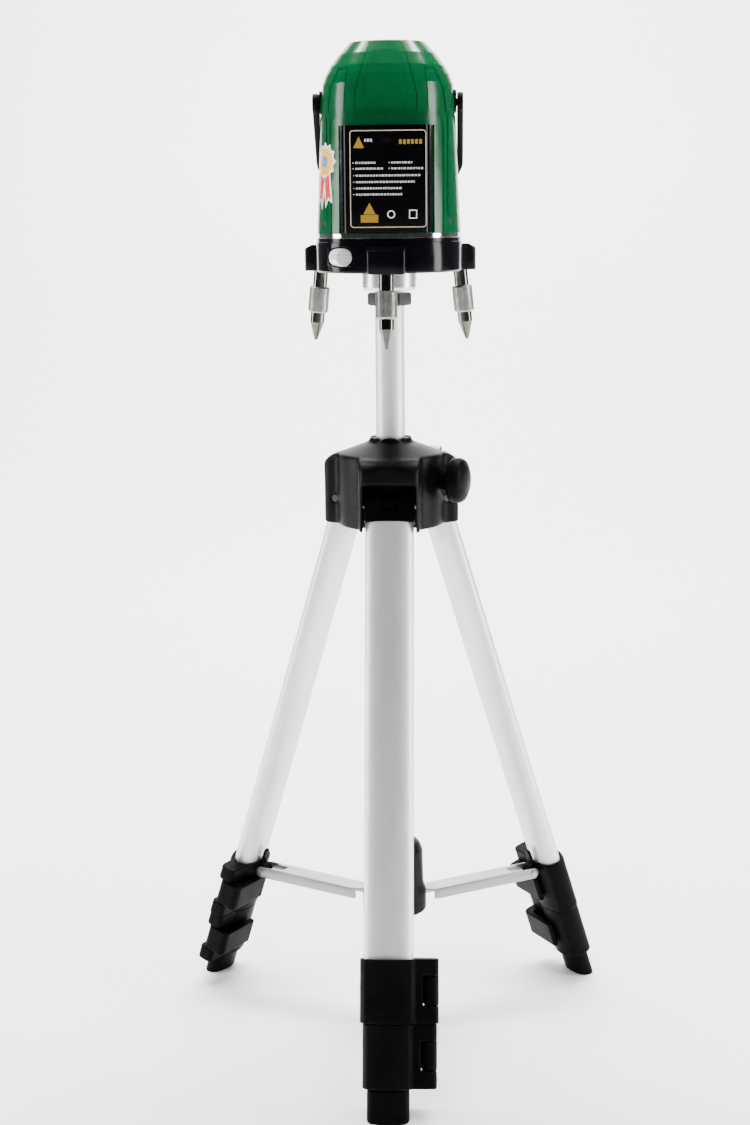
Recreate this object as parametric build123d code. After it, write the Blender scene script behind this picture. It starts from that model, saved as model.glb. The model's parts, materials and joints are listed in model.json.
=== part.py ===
"""Laser level on a tripod: a self-levelling line laser on a small three-legged stand.

Every piece is a solid of its own. Lengths are in millimetres and angles in degrees. Z is up,
the battery side of the level and leg 1 face -Y, and the floor is z = 0.
"""
from build123d import *
from math import cos, radians, sin, tan
import os

os.makedirs("parts", exist_ok=True)

# ---- Where the centre column stands in the frame ----
COLUMN_X = 1.15
COLUMN_Y = 31.77
HOME = Pos(COLUMN_X, COLUMN_Y, 0)
LEG_AZIMUTHS = (-90.0, 30.0, 150.0)

# ---- Legs ----
LEG_ANGLE = 18.56           # from the vertical, spread
HINGE_R = 33.0
HINGE_Z = 384.0
UPPER_TUBE = (33.0, 17.0, 1.2)      # width, depth, wall
MIDDLE_TUBE = (28.6, 12.8, 1.0)
LOWER_TUBE = (24.6, 9.0, 1.0)
TUBE_TOP = 12.0             # distances down the leg from the hinge
UPPER_COLLAR_TOP = 301.5
LOWER_COLLAR_TOP = 343.2
FOOT_TOP = 385.0
COLLAR_HEIGHT = 41.4
EAR_HEIGHT = 10.6
BODY_GAP = 0.3              # between pieces of two bodies that face each other
PIN_CLEARANCE = 0.05        # radial, in every pivot
FOOT_WIDTH = 28.0
FOOT_DEPTH = 15.5

# ---- Clamp levers ----
LEVER_PIN_X = -3.0          # towards the inside of the leg
LEVER_PIN_Y = 28.0
LOWER_LEVER_PIN_Y = 26.8
LEVER_ARM_X = (-16.4, -12.2)
LEVER_TIP_Y = -5.0

# ---- Spreader ----
BRACE_PIVOT_X = -16.0
BRACE_PIVOT_DOWN = 306.0
BRACE_WIDTH = 15.0
BRACE_HEIGHT = 8.0
BRACE_WALL = 1.2
BRACE_TIP_R = 18.6          # where the pointed inner end stops, from the column axis
HUB_R = 21.5
HUB_BOTTOM = 82.5
HUB_SLOT_TOP = 116.0
HUB_TOP = 135.0
HUB_SLOT_WIDTH = 16.6

# ---- Tripod head and column ----
HEAD_BOTTOM = 366.0
HEAD_TOP = 424.0
LOBE_R = 45.0
LOBE_WIDTH = 42.0
VALLEY_R = 36.5             # the wall between the lobes
SLOT_WIDTH = 36.0
SLOT_TOP = 399.0
SLOT_INNER_R = 22.0
HINGE_PIN_R = 2.5
COLUMN_R = 10.0
COLUMN_BOTTOM = 330.0
COLUMN_TOP = 517.0
KNOB_AZIMUTH = -20.0
KNOB_Z = 398.5
KNOB_R = 15.5
KNOB_OUTER_R = 56.4         # how far out its domed face stands
STUD_R = 4.7

# ---- Level: base and feet ----
BASE_BOTTOM = 540.0
BASE_TOP = 559.8
BASE_R = 49.3
BASE_LOBE_R = 62.0
BASE_LOBE_WIDTH = 25.0
THREAD_R = 7.94             # 5/8 inch survey thread, major radius
FOOT_SPLAY = 6.5
FOOT_AXIS_R = 55.8
FOOT_TIP_LENGTH = 48.5      # along the foot's axis below the base
WORM_AZIMUTH = -66.0        # the way the fine knob points
WORM_OFFSET = 44.0          # from the column axis to the worm's axis
WORM_Z = 550.5
KNOB_FACE_RUN = 30.0        # from the point nearest the column axis to the knob's face

# ---- Level: housing ----
RING_BOTTOM = 562.9
HOUSING_BOTTOM = 565.6
HOUSING_TOP = 690.0
HOUSING_R_LOW = 48.6
HOUSING_R_HIGH = 44.4
SHOULDER_Z = 656.5
TOP_R = 24.2
SHELL_WALL = 2.4
GROOVE_DEPTH = 0.55
GROOVE_START = 12.0          # grooves are cut from this far out, towards the battery side
STRAP_Z = 651.0
STRAP_SAG = 50.0            # below the horizontal, at rest
STRAP_STRAIGHT = 42.0       # the straight length of each arm
STRAP_REACH = 88.0          # from the lugs to the outside of the bow
STRAP_THICK = 3.0
PACK_BOTTOM = 566.2
PACK_TOP = 634.8
PACK_HALF_WIDTH = 31.1
PACK_FACE_Y = -50.3
PACK_BACK_Y = -29.6
CELL_R = 9.2                # a standard 18.4 by 65 mm cell
CELL_LENGTH = 65.0
GIMBAL_Z = 664.0


# ---------------------------------------------------------------- helpers
def write(name, shape):
    """Write one node's solids, moved to where the column stands in the frame."""
    placed = HOME * shape
    placed.label = name
    export_step(placed, "parts/" + name + ".step")
    NODES[name] = placed


def box_between(low, high):
    """A box given by its lowest and highest corners."""
    size = [b - a for a, b in zip(low, high)]
    middle = [(a + b) / 2 for a, b in zip(low, high)]
    return Pos(*middle) * Box(*size)


def ring(outer, inner, bottom, top):
    """A plain ring about the Z axis."""
    middle = (bottom + top) / 2
    return Pos(0, 0, middle) * (Cylinder(outer, top - bottom) - Cylinder(inner, top - bottom + 2))


def rod(radius, bottom, top):
    """A plain round rod on the Z axis."""
    return Pos(0, 0, (bottom + top) / 2) * Cylinder(radius, top - bottom)


def turned(points):
    """A solid of revolution about Z from an outline of (radius, height) points."""
    outline = Polyline(*[(r, 0, z) for r, z in points], close=True)
    return revolve(make_face(outline), Axis.Z)


def oval(width, depth):
    """A leg section: broad convex faces across X, rounded ends along Y."""
    side = 0.40 * width
    edge = 0.35 * depth
    front = ThreePointArc((edge, -side), (depth / 2, 0), (edge, side))
    end = ThreePointArc((edge, side), (0, width / 2), (-edge, side))
    back = ThreePointArc((-edge, side), (-depth / 2, 0), (-edge, -side))
    start = ThreePointArc((-edge, -side), (0, -width / 2), (edge, -side))
    face = make_face(front + end + back + start)
    return fillet(face.vertices(), 0.12 * depth)


def oval_bar(width, depth, start, stop):
    """A solid bar of leg section between two distances down the leg."""
    return Pos(0, 0, -stop) * extrude(oval(width, depth), stop - start)


def oval_tube(size, start, stop):
    """A leg tube between two distances down the leg."""
    width, depth, wall = size
    bore = oval_bar(width - 2 * wall, depth - 2 * wall, start - 1, stop + 1)
    return oval_bar(width, depth, start, stop) - bore


def cross_rod(radius, x, down, half_length):
    """A round rod across the leg, along local Y."""
    return Pos(x, 0, -down) * Rot(90, 0, 0) * Cylinder(radius, 2 * half_length)


# ---------------------------------------------------------------- legs
def leg_place(azimuth):
    """From a leg's own axes (X outward, Y sideways, Z up the leg) to the object's."""
    return Rot(0, 0, azimuth) * Pos(HINGE_R, 0, HINGE_Z) * Rot(0, -LEG_ANGLE, 0)


def top_yoke():
    """The plug in the top of the leg with the eye for the hinge pin."""
    eye = cross_rod(7.4, 0, 0, 17.0)
    neck = box_between((-7.4, -17.0, -TUBE_TOP), (7.4, 17.0, 0))
    width, depth, wall = UPPER_TUBE
    collar = oval_bar(width, depth, TUBE_TOP - 3, TUBE_TOP)
    plug = oval_bar(width - 2 * wall - 0.1, depth - 2 * wall - 0.1, TUBE_TOP - 1, TUBE_TOP + 28)
    bore = cross_rod(HINGE_PIN_R + PIN_CLEARANCE, 0, 0, 20)
    relief = box_between((-9, -6, -5), (9, 6, 9)) - cross_rod(4.4, 0, 0, 8)
    return eye + neck + collar + plug - bore - relief


def clamp_collar(tube, inner_tube, top, half_width, pin_y, pin_reach):
    """A clamp body round a tube's end, with two ears for its lever."""
    bottom = top + COLLAR_HEIGHT
    width, depth, _ = tube
    shell_depth = 22.8
    body = oval_bar(2 * half_width, shell_depth, top, bottom)
    flange = box_between((-8.0, 6, -bottom), (4.5, pin_reach, -top))
    flange = fillet(flange.edges().filter_by(Axis.Z).sort_by(Axis.Y)[-2:], 4.0)
    body = body + flange
    seat = oval_bar(width + 0.1, depth + 0.1, top - 1, bottom - 5)
    guide = oval_bar(inner_tube[0] + 0.3, inner_tube[1] + 0.3, top, bottom + 1)
    window_low = -(bottom - EAR_HEIGHT)
    window_high = -(top + EAR_HEIGHT)
    window = box_between((-30, pin_y - 5.6, window_low), (30, pin_reach + 5, window_high))
    middle = (window_low + window_high) / 2
    well = Pos(LEVER_PIN_X, pin_y, middle) * Cylinder(6.0, window_high - window_low)
    pin_bore = Pos(LEVER_PIN_X, pin_y, middle) * Cylinder(2.0 + PIN_CLEARANCE, 35.0)
    split = box_between((-0.6, width / 2 - 1, -bottom - 1), (0.6, pin_y - 9, -top + 1))
    return body - seat - guide - window - well - pin_bore - split


def brace_bracket(top):
    """The tongue on the inside of the upper collar that the brace is riveted to."""
    down = BRACE_PIVOT_DOWN
    tongue = box_between((BRACE_PIVOT_X, -4.4, -down - 3.6), (-10.9, 4.4, -top))
    eye = cross_rod(3.6, BRACE_PIVOT_X, down, 4.4)
    tab = box_between((-13.2, -3.0, -top), (-11.2, 3.0, -top + 12.0))
    tab = fillet(tab.edges().filter_by(Axis.X).sort_by(Axis.Z)[-2:], 2.5)
    foot = box_between((-13.2, -4.4, -top - 8), (-9.6, 4.4, -top))
    clear = oval_bar(UPPER_TUBE[0] + 0.1, UPPER_TUBE[1] + 0.1, top - 20, top + 20)
    bore = cross_rod(1.5 + PIN_CLEARANCE, BRACE_PIVOT_X, down, 10)
    return tongue + eye + tab + foot - clear - bore


def clamp_lever(top, pin_y):
    """A clamp lever: a cam barrel on its pin and an arm along the inside of the leg."""
    high = -(top + EAR_HEIGHT + BODY_GAP)
    low = -(top + COLLAR_HEIGHT - EAR_HEIGHT - BODY_GAP)
    middle = (high + low) / 2
    barrel = Pos(LEVER_PIN_X, pin_y, middle) * Cylinder(5.0, high - low)
    root = box_between((LEVER_ARM_X[0], pin_y - 4.4, low), (LEVER_PIN_X, pin_y + 5.0, high))
    arm = box_between((LEVER_ARM_X[0], LEVER_TIP_Y, low), (LEVER_ARM_X[1], pin_y, high))
    lever = root + arm
    lever = fillet(lever.edges().filter_by(Axis.Z).sort_by(Axis.Y)[:2], 1.8)
    corner = lever.edges().filter_by(Axis.Z).filter_by_position(Axis.X, -17, -16)
    lever = fillet(corner.sort_by(Axis.Y)[-1:], 4.5)
    trunnion = Pos(LEVER_PIN_X, pin_y, middle) * Cylinder(2.0, high - low + 14.0)
    return lever + barrel + trunnion


def leg_foot(azimuth):
    """The moulded shoe on the lowest tube, cut flat where it stands on the floor."""
    bottom = 410.0
    block = oval_bar(FOOT_WIDTH, FOOT_DEPTH, FOOT_TOP + BODY_GAP, bottom)
    block = fillet(block.faces().sort_by(Axis.Z)[0].edges(), 5.0)
    socket = oval_bar(LOWER_TUBE[0], LOWER_TUBE[1], FOOT_TOP - 1, FOOT_TOP + 12)
    shoe = leg_place(azimuth) * (block - socket)
    return shoe - box_between((-300, -300, -30), (300, 300, 0))


def brace(azimuth):
    """A U channel, open below, from the collar's bracket to the hub, with its rivet."""
    reach = radians(LEG_ANGLE)
    pivot_r = HINGE_R + BRACE_PIVOT_DOWN * sin(reach) + BRACE_PIVOT_X * cos(reach)
    pivot_z = HINGE_Z - BRACE_PIVOT_DOWN * cos(reach) + BRACE_PIVOT_X * sin(reach)
    half = BRACE_WIDTH / 2
    low = pivot_z - BRACE_HEIGHT / 2
    high = pivot_z + BRACE_HEIGHT / 2
    channel = box_between((BRACE_TIP_R, -half, low), (pivot_r, half, high))
    ends = Pos(pivot_r, 0, pivot_z) * Rot(90, 0, 0) * Cylinder(BRACE_HEIGHT / 2, BRACE_WIDTH)
    inside = half - BRACE_WALL
    hollow = box_between((0, -inside, low - 1), (pivot_r + 9, inside, high - BRACE_WALL))
    web_cut = box_between((pivot_r - 9, -inside, low - 1), (pivot_r + 9, inside, high + 1))
    tab_slot = box_between((pivot_r - 18.5, -3.5, low - 1), (pivot_r, 3.5, high + 1))
    channel = channel + ends - hollow - web_cut - tab_slot
    for side in (-1, 1):
        nose = Pos(BRACE_TIP_R, 0, pivot_z) * Rot(0, 0, side * 60)
        channel = channel - nose * Pos(-15, side * 15, 0) * Box(30, 60, 30)
    undercut = Pos(BRACE_TIP_R + 4.2, 0, low) * Rot(0, 45, 0) * Box(11, 30, 11)
    channel = channel - undercut
    rivet = Pos(pivot_r, 0, pivot_z) * Rot(90, 0, 0) * Cylinder(1.5, BRACE_WIDTH)
    head = Cylinder(2.6, 0.9)
    heads = Pos(pivot_r, half + 0.4, pivot_z) * Rot(90, 0, 0) * head
    heads = heads + Pos(pivot_r, -half - 0.4, pivot_z) * Rot(90, 0, 0) * head
    return Rot(0, 0, azimuth) * (channel + rivet + heads)


def make_legs():
    """All the pieces of the three legs."""
    upper_bottom = UPPER_COLLAR_TOP + COLLAR_HEIGHT
    lower_bottom = LOWER_COLLAR_TOP + COLLAR_HEIGHT
    upper_collar = clamp_collar(UPPER_TUBE, MIDDLE_TUBE, UPPER_COLLAR_TOP, 18.8, LEVER_PIN_Y, 33.0)
    upper_collar = upper_collar + brace_bracket(UPPER_COLLAR_TOP)
    lower_collar = clamp_collar(
        MIDDLE_TUBE, LOWER_TUBE, LOWER_COLLAR_TOP, 17.0, LOWER_LEVER_PIN_Y, 31.8)
    pieces = {
        "top_yoke": top_yoke(),
        "upper_tube": oval_tube(UPPER_TUBE, TUBE_TOP, upper_bottom - 5.2),
        "upper_collar": upper_collar,
        "upper_lever": clamp_lever(UPPER_COLLAR_TOP, LEVER_PIN_Y),
        "middle_tube": oval_tube(MIDDLE_TUBE, TUBE_TOP + 32, lower_bottom - 5.2),
        "lower_collar": lower_collar,
        "lower_lever": clamp_lever(LOWER_COLLAR_TOP, LOWER_LEVER_PIN_Y),
        "lower_tube": oval_tube(LOWER_TUBE, TUBE_TOP + 42, FOOT_TOP + 12),
    }
    for number, azimuth in enumerate(LEG_AZIMUTHS, start=1):
        for name, piece in pieces.items():
            write("leg_%d_%s" % (number, name), leg_place(azimuth) * piece)
        write("leg_%d_foot" % number, leg_foot(azimuth))
        write("brace_%d" % number, brace(azimuth))


# ---------------------------------------------------------------- hub, head and column
def spreader_hub():
    """The plastic hub that gathers the three braces, slotted so that their ends can pass."""
    outline = [(0, HUB_BOTTOM), (HUB_R + 1.5, HUB_BOTTOM), (HUB_R + 1.5, HUB_BOTTOM + 14),
               (HUB_R - 0.5, HUB_BOTTOM + 20), (HUB_R - 1.0, HUB_TOP - 8),
               (HUB_R - 3.2, HUB_TOP - 3), (HUB_R - 7.0, HUB_TOP), (0, HUB_TOP)]
    hub = turned(outline)
    slot_middle = (HUB_BOTTOM + HUB_SLOT_TOP) / 2
    for azimuth in LEG_AZIMUTHS:
        slot = Pos(20, 0, slot_middle - 1) * Box(40, HUB_SLOT_WIDTH, HUB_SLOT_TOP - HUB_BOTTOM + 2)
        hub = hub - Rot(0, 0, azimuth) * slot
    cup = turned([(0, HUB_SLOT_TOP + 4), (9.5, HUB_SLOT_TOP + 4), (12.5, HUB_TOP + 1), (0, HUB_TOP + 1)])
    return hub - cup


def head_casting():
    """The three-lobed crown that carries the legs and clamps the column."""
    slope = Polyline((0, 0, HEAD_TOP), (15, 0, HEAD_TOP), (36, 0, HEAD_TOP - 8))
    shoulder = ThreePointArc((36, 0, HEAD_TOP - 8), (45, 0, HEAD_TOP - 12.5), (49.5, 0, HEAD_TOP - 22))
    side = Polyline((49.5, 0, HEAD_TOP - 22), (49.5, 0, HEAD_BOTTOM), (0, 0, HEAD_BOTTOM), (0, 0, HEAD_TOP))
    envelope = revolve(make_face(slope + shoulder + side), Axis.Z)
    plan = Cylinder(VALLEY_R, 140)
    for azimuth in LEG_AZIMUTHS:
        plan = plan + Rot(0, 0, azimuth) * Pos(LOBE_R / 2, 0, 0) * Box(LOBE_R, LOBE_WIDTH, 140)
    plan = fillet(plan.edges().filter_by(Axis.Z).filter_by_position(Axis.Z, -71, 71), 6.5)
    crown = envelope & (Pos(0, 0, HEAD_TOP - 60) * plan)
    collar = ring(15.0, COLUMN_R, HEAD_TOP - 4, HEAD_TOP + 3.2)
    for azimuth in (0, 60, 120):
        notch = Rot(0, 0, azimuth) * Pos(0, 0, HEAD_TOP + 3.2) * Box(40, 4.0, 4.0)
        collar = collar - notch
    crown = crown + collar
    bore = rod(COLUMN_R + 0.1, HEAD_BOTTOM - 1, HEAD_TOP + 10)
    knob_boss = radial(KNOB_AZIMUTH, KNOB_Z, VALLEY_R - 5.5, VALLEY_R + 0.5) * Cylinder(8.5, 6)
    screw_bore = radial(KNOB_AZIMUTH, KNOB_Z, 0, 60) * Cylinder(3.0 + PIN_CLEARANCE, 60)
    crown = crown + knob_boss - bore - screw_bore
    for azimuth in LEG_AZIMUTHS:
        slot = box_between((SLOT_INNER_R, -SLOT_WIDTH / 2, HEAD_BOTTOM - 5),
                           (70, SLOT_WIDTH / 2, SLOT_TOP))
        pin = Pos(HINGE_R, 0, HINGE_Z) * Rot(90, 0, 0) * Cylinder(HINGE_PIN_R, 60)
        crown = crown - Rot(0, 0, azimuth) * slot - Rot(0, 0, azimuth) * pin
    vial = Rot(0, 0, LEG_AZIMUTHS[1]) * Pos(34, 0, 0) * rod(5.9, 412.0, 430)
    return crown - vial


def radial(azimuth, height, start, stop):
    """Place a cylinder along a radius, between two distances from the column axis."""
    return Rot(0, 0, azimuth) * Pos((start + stop) / 2, 0, height) * Rot(0, 90, 0)


def column_lock_knob():
    """The domed knob whose screw clamps the column."""
    neck = VALLEY_R + 1.0
    back = KNOB_OUTER_R - 11.4
    profile = [(0, 10.2), (3.0, 10.2), (3.0, neck), (7.0, neck), (7.0, back), (KNOB_R - 1.1, back),
               (KNOB_R, back + 1.1), (KNOB_R, KNOB_OUTER_R - 5.4), (KNOB_R - 1.5, KNOB_OUTER_R - 2.8),
               (KNOB_R - 5.5, KNOB_OUTER_R - 1.0), (0, KNOB_OUTER_R)]
    return Rot(0, 0, KNOB_AZIMUTH) * Pos(0, 0, KNOB_Z) * Rot(0, 90, 0) * turned(profile)


def leg_hinge_pins():
    """The three leg pins, as one group of separate solids."""
    pins = []
    for azimuth in LEG_AZIMUTHS:
        pin = Pos(HINGE_R, 0, HINGE_Z) * Rot(90, 0, 0) * Cylinder(HINGE_PIN_R, LOBE_WIDTH)
        pins.append(Rot(0, 0, azimuth) * pin)
    return Compound(pins)


def center_column():
    """The column tube with the threaded stud pressed into its top."""
    tube = ring(COLUMN_R, COLUMN_R - 1.5, COLUMN_BOTTOM, COLUMN_TOP)
    plug = rod(COLUMN_R - 1.4, COLUMN_TOP - 18, COLUMN_TOP)
    return tube + plug + rod(STUD_R, COLUMN_TOP, COLUMN_TOP + 17)


def lock_nut():
    """The hexagonal nut that locks the adapter on the stud."""
    low = COLUMN_TOP + 0.05
    high = COLUMN_TOP + 8.6
    nut = Pos(0, 0, low) * extrude(RegularPolygon(13.0, 6, major_radius=False), high - low)
    cone = turned([(0, low), (13.6, low), (15.1, low + 1.0), (15.1, high - 1.0), (13.6, high), (0, high)])
    return (nut & cone) - rod(STUD_R, low - 1, high + 1)


def mount_adapter():
    """The 5/8 inch adapter: a disc on the stud, with the survey thread above it."""
    low = COLUMN_TOP + 9.8
    disc = turned([(0, low), (16.2, low), (17.8, low + 0.9), (18.4, low + 2.6), (18.4, BASE_BOTTOM),
                   (0, BASE_BOTTOM)])
    thread = rod(THREAD_R, BASE_BOTTOM - 1, BASE_BOTTOM + 12.5)
    return disc + thread - rod(STUD_R, low - 1, COLUMN_TOP + 17.0)


# ---------------------------------------------------------------- level base
def foot_place(azimuth):
    """From a levelling foot's own axis (Z up, origin where it meets the base) to the object's."""
    return Rot(0, 0, azimuth) * Pos(FOOT_AXIS_R, 0, BASE_BOTTOM) * Rot(0, -FOOT_SPLAY, 0)


def worm_place():
    """From the worm's own axes (Z out of the knob's face) to the object's."""
    turn = Rot(0, 0, WORM_AZIMUTH)
    return turn * Pos(0, -WORM_OFFSET, WORM_Z) * Rot(0, 90, 0)


def level_base():
    """The three-lobed base, hollow for the worm wheel."""
    base = turned([(0, BASE_BOTTOM), (BASE_R - 1, BASE_BOTTOM), (BASE_R, BASE_BOTTOM + 1.2),
                   (BASE_R, BASE_TOP), (0, BASE_TOP)])
    for azimuth in LEG_AZIMUTHS:
        lobe = box_between((30, -BASE_LOBE_WIDTH / 2, BASE_BOTTOM),
                           (BASE_LOBE_R, BASE_LOBE_WIDTH / 2, BASE_TOP - 2))
        lobe = fillet(lobe.edges().filter_by(Axis.Z).sort_by(Axis.X)[-2:], 2.5)
        slope = Pos(BASE_LOBE_R + 1.5, 0, BASE_TOP - 2) * Rot(0, 25, 0) * Box(26, 40, 7)
        base = base + Rot(0, 0, azimuth) * (lobe - slope)
    cheek = worm_place() * Pos(0, 0, KNOB_FACE_RUN - 17) * Box(11, 9.0, 5)
    base = base - ring(44.0, 15.5, BASE_BOTTOM + 4, BASE_TOP + 1) + cheek
    base = base - rod(THREAD_R + 0.05, BASE_BOTTOM - 1, BASE_BOTTOM + 14)
    knob_pocket = worm_place() * rod(6.7, KNOB_FACE_RUN - 14.5, KNOB_FACE_RUN + 12)
    shaft_bore = worm_place() * rod(2.0 + PIN_CLEARANCE, -13, KNOB_FACE_RUN)
    worm_well = worm_place() * rod(4.6, -8, 8)
    base = base - knob_pocket - worm_well - shaft_bore
    for azimuth in LEG_AZIMUTHS:
        base = base - foot_place(azimuth) * rod(4.95, -2, 12)
    return base


def fine_knob():
    """The fine-adjustment knob on its worm shaft."""
    knob = Pos(0, 0, KNOB_FACE_RUN - 6.75) * Cylinder(5.75, 13.5)
    knob = chamfer(knob.edges().filter_by(GeomType.CIRCLE), 0.5)
    shaft = rod(2.0, -11, KNOB_FACE_RUN - 10)
    worm = rod(4.2, -7.5, 7.5)
    return worm_place() * (knob + shaft + worm)


def turntable():
    """The worm wheel, its hub and the dial flange that closes the base."""
    wheel = ring(WORM_OFFSET - 4.5, 16.2, BASE_BOTTOM + 6, BASE_TOP - 2.5)
    hub = ring(22, 16.2, BASE_TOP - 3.5, BASE_TOP + 1.4)
    dial = ring(48.8, 16.2, BASE_TOP + 0.3, RING_BOTTOM - 0.3)
    ledge = ring(26, 22, BASE_TOP - 3.5, BASE_TOP + 0.8)
    return wheel + hub + ledge + dial


def levelling_feet():
    """Sleeves, knurled nuts and pointed screws of the three levelling feet."""
    sleeves = []
    tip_z = -FOOT_TIP_LENGTH
    for number, azimuth in enumerate(LEG_AZIMUTHS, start=1):
        place = foot_place(azimuth)
        sleeves.append(place * ring(4.95, 2.6, -10.8, 11.5))
        knurl = ring(7.0, 3.0, -29.2, -11.1)
        knurl = chamfer(knurl.edges().filter_by(GeomType.CIRCLE).group_by(SortBy.RADIUS)[-1], 0.8)
        write("foot_knurl_%d" % number, place * knurl)
        screw = [(0, 8.5), (2.5, 8.5), (2.5, -11.1), (2.95, -11.1), (2.95, -29.5), (4.95, -29.5),
                 (4.95, -36.0), (1.1, tip_z), (0, tip_z)]
        write("foot_tip_%d" % number, place * turned(screw))
    write("foot_sleeves", Compound(sleeves))


# ---------------------------------------------------------------- level housing
def housing_outline(inset):
    """Radius and height points up the side of the housing, pulled in by a wall."""
    side = [(HOUSING_R_LOW, HOUSING_BOTTOM), (HOUSING_R_HIGH, SHOULDER_Z), (43.7, 662.6), (41.6, 668.5),
            (38.6, 674.0), (32.6, 682.0), (TOP_R + 1.2, HOUSING_TOP - 0.4), (TOP_R, HOUSING_TOP)]
    return [(r - inset, min(z, HOUSING_TOP - inset)) for r, z in side]


def dome_solid(inset, bottom):
    """The housing's outer form as a solid, or the hollow inside its wall."""
    outline = housing_outline(inset)
    outline[0] = (outline[0][0], bottom)
    return turned([(0, bottom)] + outline + [(0, outline[-1][1])])


def pack_form(grow):
    """The battery pack's form: flat face, drafted sides, square back."""
    half = PACK_HALF_WIDTH + grow
    face = PACK_FACE_Y - grow
    back = PACK_BACK_Y + grow
    profile = Polyline((-half, back), (-half, face + 13.5), (-half + 3.3, face + 1.6),
                       (-half + 4.9, face), (half - 4.9, face), (half - 3.3, face + 1.6),
                       (half, face + 13.5), (half, back), close=True)
    form = extrude(make_face(profile), PACK_TOP - PACK_BOTTOM + 2 * grow)
    return Pos(0, 0, PACK_BOTTOM - grow) * form


def housing_shell():
    """The green housing: a tapered drum with a dome, windows, and a bay for the pack."""
    shell = dome_solid(0, HOUSING_BOTTOM) - dome_solid(SHELL_WALL, HOUSING_BOTTOM + 2.5)
    bay_wall = box_between((-PACK_HALF_WIDTH - 2, PACK_BACK_Y - 12, HOUSING_BOTTOM),
                           (PACK_HALF_WIDTH + 2, PACK_BACK_Y + 2.2, PACK_TOP + 2.2))
    wall_room = dome_solid(1.0, HOUSING_BOTTOM)
    shell = shell + (bay_wall & wall_room)
    bay = box_between((-PACK_HALF_WIDTH - 0.3, -70, PACK_BOTTOM - 0.3),
                      (PACK_HALF_WIDTH + 0.3, PACK_BACK_Y + 0.3, PACK_TOP + 0.3))
    shell = shell - bay
    shell = shell - housing_grooves()
    shell = shell - rod(TOP_R - 4.0, HOUSING_TOP - 5, HOUSING_TOP + 1)
    shell = shell - front_window_box(0.0) - side_window_box(-1) - side_window_box(1)
    shell = shell - rod(14.0, HOUSING_BOTTOM - 1, HOUSING_BOTTOM + 4)
    for x, z in screw_places():
        shell = shell - screw_axis(x, z) * rod(2.6, -1.0, 6)
    for side in (-1, 1):
        lug = box_between((41.5, -5.2, STRAP_Z - 6.7), (50, 5.2, STRAP_Z + 8.2))
        shell = shell - (lug if side > 0 else mirror(lug, Plane.YZ))
    return shell


def mirrored(points):
    """An outline and its mirror image, joined into one closed outline."""
    return points + [(-x, z) for x, z in reversed(points)]


def groove(points, width):
    """The band between an outline on the battery side and the same outline pulled in."""
    face = make_face(Polyline(*points, close=True))
    band = face - offset(face, -width)
    return Rot(90, 0, 0) * Pos(0, 0, GROOVE_START) * extrude(band, HOUSING_R_LOW)


def housing_grooves():
    """The panel lines of the battery side and the step round the foot of the dome."""
    skin = dome_solid(-1.0, HOUSING_BOTTOM) - dome_solid(GROOVE_DEPTH, HOUSING_BOTTOM)
    tongue = mirrored([(20.6, 644.0), (20.6, 655.0), (17.2, 668.0), (10.5, 690.5)])
    inner = mirrored([(13.8, 646.5), (13.8, 664.0), (11.5, 674.0), (7.5, 683.0)])
    arch = mirrored([(37.2, 560.0), (37.2, 636.5), (35.6, 640.0), (32.0, 641.6)])
    lines = groove(tongue, 0.9) + groove(arch, 0.8)
    for side in (-1, 1):
        panel = [(27.2, 644.0), (39.0, 644.0), (37.4, 658.5), (31.5, 672.0), (24.5, 672.0), (26.6, 658.5)]
        flank = [(39.6, 576.3), (60.0, 576.3), (60.0, 641.6), (39.6, 641.6)]
        for outline in (panel, flank):
            lines = lines + groove([(side * x, z) for x, z in outline], 0.7)
    shoulder = ring(60, 20, 642.4, 643.1)
    cut = (lines + shoulder) & skin
    faint = groove(inner, 0.8) & (skin - dome_solid(0.25, HOUSING_BOTTOM))
    return cut + faint


def front_window_box(grow):
    """The space of the tall front window, which faces +Y and runs up onto the dome."""
    return box_between((-15 + grow, 20, 603 + grow), (15 - grow, 60, 679 - grow))


def side_window_box(side):
    """The space of a side window."""
    low_x, high_x = (30, 60) if side > 0 else (-60, -30)
    return box_between((low_x, 10, 660.5), (high_x, 24, 679.5))


def laser_windows():
    """Curved clear windows that fill the openings of the housing."""
    skin = dome_solid(0.5, HOUSING_BOTTOM + 1) - dome_solid(2.3, HOUSING_BOTTOM + 0.5)
    front = skin & front_window_box(0.15)
    sides = []
    for side in (-1, 1):
        low_x, high_x = (30, 60) if side > 0 else (-60, -30)
        sides.append(skin & box_between((low_x, 10.15, 660.65), (high_x, 23.85, 679.35)))
    return Compound([front.solid()] + [piece.solid() for piece in sides])


def screw_places():
    """Sideways offset and height of the two visible housing screws."""
    return ((-42.4, 571.5), (42.4, 573.0))


def screw_axis(x, z):
    """A frame on the housing wall at a screw, with Z pointing out of the wall."""
    side = 1 if x > 0 else -1
    y = -(HOUSING_R_LOW ** 2 - x ** 2) ** 0.5
    azimuth = -29.0 if side > 0 else -151.0
    return Pos(x - side * 1.0, y + 0.8, z) * Rot(0, 0, azimuth) * Rot(0, 90, 0)


def housing_screws():
    """The two pan-head screws, sunk in the housing."""
    screws = []
    for x, z in screw_places():
        screws.append(screw_axis(x, z) * (rod(2.5, -0.9, 0.6) - Pos(0, 0, 0.6) * Box(3.4, 0.7, 0.9)))
    return Compound(screws)


def turning_ring():
    """The bright ring under the housing, with its index notch and a centre spindle plate."""
    band = ring(48.4, 14.5, RING_BOTTOM, HOUSING_BOTTOM - 0.05)
    notch = Rot(0, 0, -127) * Pos(48.4, 0, 0) * box_between((-1.2, -1.3, RING_BOTTOM - 1), (2, 1.3, 570))
    return band - notch


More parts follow.
